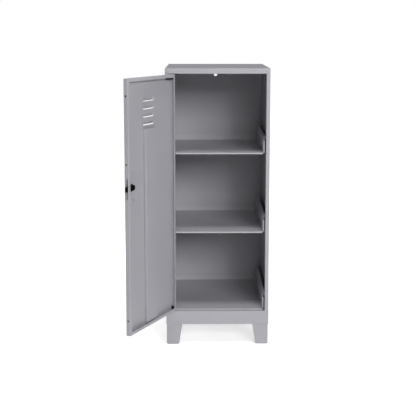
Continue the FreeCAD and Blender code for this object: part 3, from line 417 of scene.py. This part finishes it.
def zinc_plate(name, colour, lighter, roughness):
    """Bright zinc over steel, with the cloudy blue of its passivation."""
    material, tree = new_material(name)
    place = add(tree, "ShaderNodeTexCoord").outputs["Object"]
    cloud = add(tree, "ShaderNodeTexNoise", {"Scale": 1 / ZINC_CLOUD, "Detail": 4.0}, Vector=place)
    tint = two_tone(tree, cloud.outputs["Fac"], colour, lighter)
    gloss = add(tree, "ShaderNodeMapRange", {"To Min": roughness - 0.08, "To Max": roughness + 0.1},
                Value=cloud.outputs["Fac"])
    grain = add(tree, "ShaderNodeTexNoise", {"Scale": 1 / ZINC_GRAIN, "Detail": 2.0}, Vector=place)
    bump = add(tree, "ShaderNodeBump", {"Strength": 0.3, "Distance": 0.02 * MM}, Height=grain.outputs["Fac"])
    shader = add(tree, "ShaderNodeBsdfPrincipled", {"Metallic": 1.0}, Base_Color=tint,
                 Roughness=gloss.outputs["Result"], Normal=bump.outputs["Normal"])
    add(tree, "ShaderNodeOutputMaterial", Surface=shader.outputs["BSDF"])
    return material


def thread(radius, low, high, pitch):
    """Outline points of a screw thread from low to high."""
    root = radius - 0.3 * pitch
    points = []
    height = low
    while height + pitch < high:
        points += [(root, height), (radius, height + pitch / 2)]
        height += pitch
    return points + [(root, height)]


def hexagon(across_flats, low, high, chamfer):
    """A hexagonal mesh with its corners chamfered at the ends where chamfer is true: (below, above)."""
    corner = across_flats / math.sqrt(3)
    drop = (corner - across_flats / 2) * math.tan(math.radians(30))
    cone = [(across_flats / 2 if chamfer[0] else corner, low), (corner, low + drop), (corner, high - drop),
            (across_flats / 2 if chamfer[1] else corner, high)]
    return cut(turned([(corner, low), (corner, high)], turns=6), turned(cone, turns=72), "INTERSECT")


def joined(*meshes):
    """Several closed meshes as one."""
    work = bmesh.new()
    for mesh in meshes:
        work.from_mesh(mesh)
    return as_mesh(work)


def rod_places(boxes, turn, end):
    """A place for each box: turn points local Z, end gives the spot of local zero from the box's middle."""
    return [Matrix.Translation(end((low + high) / 2)) @ turn for low, high in boxes]


# Bright zinc gives a cool, cloudy, half-sharp reflection.
bright_zinc = zinc_plate("bright_zinc_plate", "b4b8be", "ccced0", 0.34)
BOLT_RADIUS = 3 * MM
THREAD_PITCH = 1.0 * MM
HEX_HEAD = 4 * MM
OVERLAP = 0.2 * MM       # lengths of one solid run this far into each other
NUT_BORE = 3.05 * MM

bolt_boxes = solid_boxes("leg_bolts")
low, high = bolt_boxes[0]
head_seat = high.z - HEX_HEAD
across = min(high.x - low.x, high.y - low.y)
shank = turned(thread(BOLT_RADIUS, low.z - head_seat, 0, THREAD_PITCH) + [(BOLT_RADIUS, OVERLAP)])
bolt = joined(hexagon(across, 0, HEX_HEAD, (False, True)), shank)
places = rod_places(bolt_boxes, Matrix(), lambda middle: Vector((middle.x, middle.y, head_seat)))
repeated("leg_bolt_set", bolt, places, bright_zinc, "cabinet", "leg_bolts")

nut_boxes = solid_boxes("leg_nuts")
low, high = nut_boxes[0]
nut_thick = high.z - low.z
bore = turned([(NUT_BORE, -MM), (NUT_BORE, nut_thick + MM)])
nut = cut(hexagon(across, 0, nut_thick, (True, True)), bore)
places = rod_places(nut_boxes, Matrix(), lambda middle: Vector((middle.x, middle.y, low.z)))
repeated("leg_nut_set", nut, places, bright_zinc, "cabinet", "leg_nuts")


# Back sheet screws ------------------------------------------------------------------------------
# Pan head sheet metal screws with a cross recess, driven from behind through the back sheet into the
# rear flanges of the side walls. Zinc plated steel.

def cross_recess(top, reach, depth, width):
    """A tapered cross that sinks a screwdriver recess into a head whose top is at this height."""
    bars = []
    for long_x in (True, False):
        work = bmesh.new()
        for height, half_long in ((top + depth / 4, reach * 1.1), (top - depth, reach * 0.35)):
            half_wide = width / 2 if height > top else width * 0.35
            for sign_long in (-1, 1):
                for sign_wide in (-1, 1):
                    spot = (sign_long * half_long, sign_wide * half_wide)
                    work.verts.new((*(spot if long_x else spot[::-1]), height))
        bmesh.ops.convex_hull(work, input=work.verts)
        bars.append(as_mesh(work))
    return bars


def pan_screw(head_radius, head_height, shank_radius, shank_length, pitch):
    """A pan head screw about Z, the underside of its head at zero."""
    crown = [(head_radius, 0), (head_radius, 0.4 * head_height), (0.93 * head_radius, 0.68 * head_height),
             (0.72 * head_radius, 0.9 * head_height), (0.4 * head_radius, head_height)]
    head = turned(crown)
    for bar in cross_recess(head_height, 0.62 * head_radius, 0.75 * head_height, 0.3 * head_radius):
        head = cut(head, bar)
    point = [(0.25 * shank_radius, -shank_length)]
    body = thread(shank_radius, -shank_length + 0.6 * shank_radius, 0, pitch)
    return joined(head, turned(point + body + [(0.85 * shank_radius, 0.1 * head_height)], turns=32))


BACK_SCREW_RADIUS, BACK_SCREW_PITCH = 1.7 * MM, 0.8 * MM
TO_REAR = Matrix.Rotation(-math.pi / 2, 4, "X")

back_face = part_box("back_panel")[1][1]
rear_boxes = solid_boxes("back_panel_screws")
low, high = rear_boxes[0]
rear_screw = pan_screw((high.z - low.z) / 2, high.y - back_face, BACK_SCREW_RADIUS, back_face - low.y,
                       BACK_SCREW_PITCH)
places = rod_places(rear_boxes, TO_REAR, lambda middle: Vector((middle.x, back_face, middle.z)))
repeated("back_screw_set", rear_screw, places, bright_zinc, "cabinet", "back_panel_screws")


# Hinge pins -------------------------------------------------------------------------------------
# Two headed steel pins, turned and zinc plated. One hangs from the cap and one stands in the base,
# each in a thick plate, with a lead at its end that finds the bearing in the door.

PIN_RADIUS, PIN_END = 2.5 * MM, 1.7 * MM
PIN_HEAD, PIN_LEAD, PIN_SOFT = 2 * MM, 1.2 * MM, 0.3 * MM

for name, head_up in (("hinge_pin_top", True), ("hinge_pin_bottom", False)):
    low, high = solid_boxes(name)[0]
    head_radius = (high.x - low.x) / 2
    span = high.z - low.z
    under_head = span - PIN_HEAD
    pin = turned([(PIN_END, 0), (PIN_RADIUS, PIN_LEAD), (PIN_RADIUS, under_head),
                  (head_radius - PIN_SOFT, under_head), (head_radius, under_head + PIN_SOFT),
                  (head_radius, span - PIN_SOFT), (head_radius - PIN_SOFT, span)])
    middle = (low + high) / 2
    place = Matrix.Translation((middle.x, middle.y, low.z))
    if not head_up:
        place = Matrix.Translation((middle.x, middle.y, high.z)) @ Matrix.Rotation(math.pi, 4, "X")
    repeated(f"{name}_turned", pin, [place], bright_zinc, "cabinet", name)


# Door bearings ----------------------------------------------------------------------------------
# Moulded black nylon: a block in the top corner of the door and a flanged bush at its foot, both
# turning on the pins. The imported solids have their shape.

# Black nylon is near black all through, with a soft sheen; its black also stands in for the shade in the gap
# under the door's top lip and in the hole at the door's foot, so it is partly painted shade.
black_nylon_and_painted_shade = moulded("moulded_black_nylon_and_painted_shade", "050505", "0a0a0a", 0.5, 0.15, 0.02 * MM)
finish("top_pivot_block", black_nylon_and_painted_shade)
finish("bottom_pivot_bush", black_nylon_and_painted_shade)


# Edge bumpers -----------------------------------------------------------------------------------
# Domed rubber buttons with a stem, pushed into holes in the free edge of the door, so that it closes
# quietly against the stile.

hinge = frame["record"]["behaviour"]["joints"][0]
hinge_line = Matrix.Translation(hinge["pos_m"])
OPEN = math.radians(max(hinge["range_deg"], key=abs))
door_place = hinge_line @ Matrix.Rotation(-OPEN, 4, "Z") @ hinge_line.inverted()   # from shut to open

# Soft rubber scatters the little that it reflects, so it reads as flat black.
black_rubber = moulded("black_rubber", "0c0c0c", "131313", 0.7, 0.15, 0.02 * MM)
bumper_boxes = solid_boxes("edge_bumpers", door_place)
low, high = bumper_boxes[0]
button_radius = (high.z - low.z) / 2
BUTTON_HEIGHT = 1.4 * MM
STEM_RADIUS, STEM_END = 1.9 * MM, 1.6 * MM
stem_length = high.x - low.x - BUTTON_HEIGHT
button = turned([(STEM_END, -stem_length), (STEM_RADIUS, -0.8 * stem_length), (STEM_RADIUS, 0),
                 (button_radius, 0), (button_radius, 0.35 * BUTTON_HEIGHT),
                 (0.86 * button_radius, 0.72 * BUTTON_HEIGHT), (0.55 * button_radius, 0.93 * BUTTON_HEIGHT),
                 (0.1 * button_radius, BUTTON_HEIGHT)])
TO_RIGHT = Matrix.Rotation(math.pi / 2, 4, "Y")
door_edge = high.x - BUTTON_HEIGHT
places = [door_place @ place for place in
          rod_places(bumper_boxes, TO_RIGHT, lambda middle: Vector((door_edge, middle.y, middle.z)))]
repeated("edge_bumper_set", button, places, black_rubber, "door", "edge_bumpers")


# Pull handle ------------------------------------------------------------------------------------
# A moulded ABS pull that carries the lock: a low pillow with sloping sides, crowned on its face, and
# hollowed along its hinge side for the fingertips. Two screws from inside the door hold it.

def block(x, y, z, bevel=0.0, segments=4):
    """A box mesh with rounded edges between two values along each axis."""
    work = bmesh.new()
    bmesh.ops.create_cube(work, size=1.0)
    for vert in work.verts:
        vert.co = [span[0] if part < 0 else span[1] for part, span in zip(vert.co, (x, y, z))]
    if bevel:
        bmesh.ops.bevel(work, geom=work.edges, offset=bevel, segments=segments, profile=0.5, affect="EDGES")
    return as_mesh(work)


handle_low, handle_high = solid_boxes("pull_handle", door_place)[0]
handle_wide = handle_high.x - handle_low.x
handle_tall = handle_high.z - handle_low.z
handle_deep = handle_high.y - handle_low.y
handle_middle = (handle_low + handle_high) / 2
SIDE_SLOPE = 5 * MM
END_SLOPE = 5 * MM
CROWN = 0.6 * MM          # the face stands this much higher along its middle
STEPS_ACROSS, STEPS_UP = 16, 40


def pillow_spot(u, v, depth):
    """A point of the pillow: u and v from -1 to 1 across and up, depth 0 at the face and 1 at the door."""
    half_wide = handle_wide / 2 - SIDE_SLOPE * (1 - depth)
    half_tall = handle_tall / 2 - END_SLOPE * (1 - depth)
    crown = CROWN * (u * u) * (1 - depth)
    return Vector((handle_middle.x + u * half_wide, handle_low.y + crown + depth * handle_deep,
                   handle_middle.z + v * half_tall))


pillow = bmesh.new()
spots = {}
for i in range(STEPS_ACROSS + 1):
    for j in range(STEPS_UP + 1):
        u, v = 2 * i / STEPS_ACROSS - 1, 2 * j / STEPS_UP - 1
        for depth in (0, 1):
            spots[i, j, depth] = pillow.verts.new(pillow_spot(u, v, depth))
for i in range(STEPS_ACROSS):
    for j in range(STEPS_UP):
        for depth in (0, 1):
            pillow.faces.new([spots[i, j, depth], spots[i + 1, j, depth], spots[i + 1, j + 1, depth],
                              spots[i, j + 1, depth]])
rim = ([(i, 0) for i in range(STEPS_ACROSS)] + [(STEPS_ACROSS, j) for j in range(STEPS_UP)]
       + [(i, STEPS_UP) for i in range(STEPS_ACROSS, 0, -1)] + [(0, j) for j in range(STEPS_UP, 0, -1)])
for here, there in zip(rim, rim[1:] + rim[:1]):
    pillow.faces.new([spots[(*here, 0)], spots[(*there, 0)], spots[(*there, 1)], spots[(*here, 1)]])
handle = as_mesh(pillow)

lock_low, lock_high = solid_boxes("lock_housing", door_place)[0]
lock_x = (lock_low.x + lock_high.x) / 2
lock_z = (lock_low.z + lock_high.z) / 2
RECESS_DEEP, RECESS_TALL, RECESS_FLOOR, RECESS_LIP = 11 * MM, 76 * MM, 3 * MM, 4 * MM
RECESS_ROUND = 3.5 * MM
BARREL_HOLE = 8.2 * MM
TO_FRONT = Matrix.Rotation(math.pi / 2, 4, "X")
recess = block((handle_low.x - RECESS_DEEP, handle_low.x + RECESS_DEEP),
               (handle_low.y + RECESS_LIP, handle_high.y - RECESS_FLOOR),
               (handle_middle.z - RECESS_TALL / 2, handle_middle.z + RECESS_TALL / 2), bevel=RECESS_ROUND)
handle = cut(handle, recess)
barrel_hole = turned([(BARREL_HOLE, -MM), (BARREL_HOLE, 30 * MM)])
barrel_hole.transform(Matrix.Translation((lock_x, handle_high.y, lock_z)) @ TO_FRONT)
handle = cut(handle, barrel_hole)
# An even fine mesh, eased a little, gives every edge the small radius of a moulding.
handle = with_modifier(handle, "REMESH", mode="VOXEL", voxel_size=0.6 * MM)
handle = with_modifier(handle, "SMOOTH", factor=0.5, iterations=5)

# Moulded ABS with a fine spark-eroded grain: mid grey, evenly matt.
grey_abs = moulded("moulded_grey_abs", "77767c", "7e7d83", 0.5, 0.4, 0.05 * MM)
repeated("pull_handle_moulded", handle, [door_place], grey_abs, "door", "pull_handle",
         sharp=60)


# Handle screws ----------------------------------------------------------------------------------
# Two pan head machine screws with a cross recess, driven from inside the door into the handle.
# Zinc plated steel.

screw_boxes = solid_boxes("handle_screws", door_place)
low, high = screw_boxes[0]
HEAD_HEIGHT, HANDLE_SCREW_RADIUS = 2.4 * MM, 2 * MM
FINE_PITCH = 0.7 * MM
head_seat = high.y - HEAD_HEIGHT
handle_screw = pan_screw((high.z - low.z) / 2, HEAD_HEIGHT, HANDLE_SCREW_RADIUS, head_seat - low.y,
                         FINE_PITCH)
places = [door_place @ place for place in
          rod_places(screw_boxes, TO_REAR, lambda middle: Vector((middle.x, head_seat, middle.z)))]
repeated("handle_screw_set", handle_screw, places, bright_zinc, "door", "handle_screws")


# Lock -------------------------------------------------------------------------------------------
# A cam lock: a zinc die casting, chrome plated, with a raised rim on the handle. A steel nut with a
# black oxide finish draws it tight against the inside of the door.

# Bright chrome mirrors the studio, a little blurred by polishing marks.
POLISH = 2.5 * MM        # spacing of the polishing marks, drawn coarser than the real ones
chrome, tree = new_material("bright_chrome")
place = add(tree, "ShaderNodeTexCoord").outputs["Object"]
polish = add(tree, "ShaderNodeTexNoise", {"Scale": 1 / POLISH, "Detail": 3.0}, Vector=place)
gloss = add(tree, "ShaderNodeMapRange", {"To Min": 0.08, "To Max": 0.2}, Value=polish.outputs["Fac"])
bump = add(tree, "ShaderNodeBump", {"Strength": 0.2, "Distance": 0.01 * MM}, Height=polish.outputs["Fac"])
tint = two_tone(tree, polish.outputs["Fac"], "d3d5d8", "dfe0e2")
shader = add(tree, "ShaderNodeBsdfPrincipled", {"Metallic": 1.0}, Base_Color=tint,
             Roughness=gloss.outputs["Result"], Normal=bump.outputs["Normal"])
add(tree, "ShaderNodeOutputMaterial", Surface=shader.outputs["BSDF"])

lock_span = lock_high.y - lock_low.y
rim_radius = (lock_high.z - lock_low.z) / 2
RIM, PLUG_RADIUS, BARREL_RADIUS = 1.6 * MM, 6 * MM, 8 * MM
FIT = 0.05 * MM          # a running or pushed fit, on the radius
housing = turned([(PLUG_RADIUS + FIT, 0), (BARREL_RADIUS - 0.4 * MM, 0), (BARREL_RADIUS, 0.4 * MM),
                  (BARREL_RADIUS, lock_span - RIM), (rim_radius, lock_span - RIM),
                  (rim_radius, lock_span - 0.9 * MM), (rim_radius - 0.5 * MM, lock_span - 0.35 * MM),
                  (rim_radius - 1.4 * MM, lock_span), (PLUG_RADIUS + 1.3 * MM, lock_span),
                  (PLUG_RADIUS + 0.6 * MM, lock_span - 0.6 * MM), (PLUG_RADIUS + FIT, lock_span - 0.8 * MM)],
                 turns=72, ring=True)
lock_place = door_place @ Matrix.Translation((lock_x, lock_high.y, lock_z)) @ TO_FRONT
repeated("lock_housing_cast", housing, [lock_place], chrome, "door", "lock_housing")

# Black oxide leaves steel near black with a dull oily sheen, darker than paint.
OXIDE_CLOUD = 6 * MM     # spacing of the uneven oxide
OXIDE_GRAIN = 0.6 * MM   # spacing of its grain, drawn coarser than the real one
black_oxide, tree = new_material("black_oxide_steel")
place = add(tree, "ShaderNodeTexCoord").outputs["Object"]
cloud = add(tree, "ShaderNodeTexNoise", {"Scale": 1 / OXIDE_CLOUD, "Detail": 4.0}, Vector=place)
tint = two_tone(tree, cloud.outputs["Fac"], "020202", "070707")
gloss = add(tree, "ShaderNodeMapRange", {"To Min": 0.42, "To Max": 0.58}, Value=cloud.outputs["Fac"])
grain = add(tree, "ShaderNodeTexNoise", {"Scale": 1 / OXIDE_GRAIN, "Detail": 2.0}, Vector=place)
bump = add(tree, "ShaderNodeBump", {"Strength": 0.3, "Distance": 0.02 * MM}, Height=grain.outputs["Fac"])
shader = add(tree, "ShaderNodeBsdfPrincipled", {"IOR": 1.5, "Specular IOR Level": 0.06}, Base_Color=tint,
             Roughness=gloss.outputs["Result"], Normal=bump.outputs["Normal"])
add(tree, "ShaderNodeOutputMaterial", Surface=shader.outputs["BSDF"])

nut_low, nut_high = solid_boxes("lock_nut", door_place)[0]
nut_wide = nut_high.x - nut_low.x
nut_tall = nut_high.z - nut_low.z
nut_thick = nut_high.y - nut_low.y
nut_bore = turned([(BARREL_RADIUS + FIT, -MM), (BARREL_RADIUS + FIT, nut_thick + MM)])
lock_nut = cut(hexagon(min(nut_wide, nut_tall), 0, nut_thick, (False, True)), nut_bore)
nut_turn = Matrix() if nut_wide > nut_tall else Matrix.Rotation(math.pi / 6, 4, "Z")
nut_place = door_place @ Matrix.Translation((lock_x, nut_low.y, lock_z)) @ TO_REAR @ nut_turn
repeated("lock_nut_black", lock_nut, [nut_place], black_oxide, "door", "lock_nut")


# Lock plug --------------------------------------------------------------------------------------
# The part the key turns: a die cast plug, chrome plated, with a warded keyway and a square end that
# carries the cam. It rides on the latch, which turns in the door.

plug_low, plug_high = solid_boxes("lock_plug", door_place)[0]
cam_low, cam_high = solid_boxes("latch_cam", door_place)[0]
plug_span = cam_low.y - plug_low.y        # the round part, from its face to the front of the cam
square = plug_high.y - cam_low.y
plug = turned([(PLUG_RADIUS, 0), (PLUG_RADIUS, plug_span - 0.5 * MM),
               (PLUG_RADIUS - 0.5 * MM, plug_span - 0.05 * MM), (PLUG_RADIUS - 1.4 * MM, plug_span),
               (PLUG_RADIUS - 1.9 * MM, plug_span - 0.25 * MM)], turns=72)

# Half the width and height of the keyway, its depth, and how far each ward stands into it.
KEY_WIDE, KEY_HALF, KEY_DEEP, WARD = 0.7 * MM, 3.75 * MM, 9 * MM, 0.45 * MM
right_side = [(0, -1), (0, -0.3), (WARD, -0.2), (WARD, 0.1), (0, 0.2), (0, 1)]
left_side = [(0, 1), (0, 0.55), (WARD, 0.45), (WARD, 0.25), (0, 0.15)]
key_outline = ([(-KEY_WIDE, -KEY_HALF)] + [(KEY_WIDE - into, up * KEY_HALF) for into, up in right_side]
               + [(into - KEY_WIDE, up * KEY_HALF) for into, up in left_side])
plug = cut(plug, plate(key_outline, plug_span - KEY_DEEP, plug_span + MM))
drive = 3.5 * MM         # half the side of the square end
drive_end = block((-drive, drive), (-drive, drive), (-square, OVERLAP), bevel=0.3 * MM, segments=2)
plug_place = door_place @ Matrix.Translation((lock_x, cam_low.y, lock_z)) @ TO_FRONT
repeated("lock_plug_face", joined(plug, drive_end), [plug_place], chrome, "latch", "lock_plug")


# Cam --------------------------------------------------------------------------------------------
# A stamped steel cam: a round hub on the plug's square end and an arm whose tongue reaches through
# the edge of the door. Black oxide finish, with the soft rims that stamping leaves.

HUB_RADIUS = 9 * MM
cam_reach = cam_high.x - lock_x
cam_half = (cam_high.z - cam_low.z) / 2
SHOULDER = 38 * MM        # lock axis to where the arm narrows to its tongue
TONGUE_HALF = 9 * MM
TIP_ROUND = 2.5 * MM
STAMPED_RIM = 0.4 * MM
upper = [(2 * cam_reach / 3 - HUB_RADIUS / 2, cam_half), (SHOULDER, cam_half),
         (SHOULDER + cam_half - TONGUE_HALF, TONGUE_HALF)]
for step in range(5):
    angle = math.radians(90 - 22.5 * step)
    upper.append((cam_reach - TIP_ROUND + TIP_ROUND * math.cos(angle),
                  TONGUE_HALF - TIP_ROUND + TIP_ROUND * math.sin(angle)))
round_hub = [math.radians(angle) for angle in range(90, 271, 10)]
hub = [(HUB_RADIUS * math.cos(angle), HUB_RADIUS * math.sin(angle)) for angle in round_hub]
cam_outline = hub + [(x, -z) for x, z in upper] + list(reversed(upper))
cam_thick = cam_high.y - cam_low.y
cam = plate(cam_outline, 0, cam_thick, bevel=STAMPED_RIM)
seat = drive + FIT
cam = cut(cam, block((-seat, seat), (-seat, seat), (-MM, cam_thick + MM)))
cam_place = door_place @ Matrix.Translation((lock_x, cam_high.y, lock_z)) @ TO_FRONT
repeated("latch_cam_stamped", cam, [cam_place], black_oxide, "latch", "latch_cam")


# Cam screw --------------------------------------------------------------------------------------
# One pan head screw with a cross recess in the end of the plug, black like the cam that it holds.

low, high = solid_boxes("cam_screw", door_place)[0]
CAM_SCREW_HEAD, CAM_SCREW_RADIUS = 2.6 * MM, 1.9 * MM
head_seat = high.y - CAM_SCREW_HEAD
cam_screw = pan_screw((high.z - low.z) / 2, CAM_SCREW_HEAD, CAM_SCREW_RADIUS, head_seat - low.y, FINE_PITCH)
screw_place = door_place @ Matrix.Translation((lock_x, head_seat, lock_z)) @ TO_REAR
repeated("cam_screw_black", cam_screw, [screw_place], black_oxide, "latch", "cam_screw")
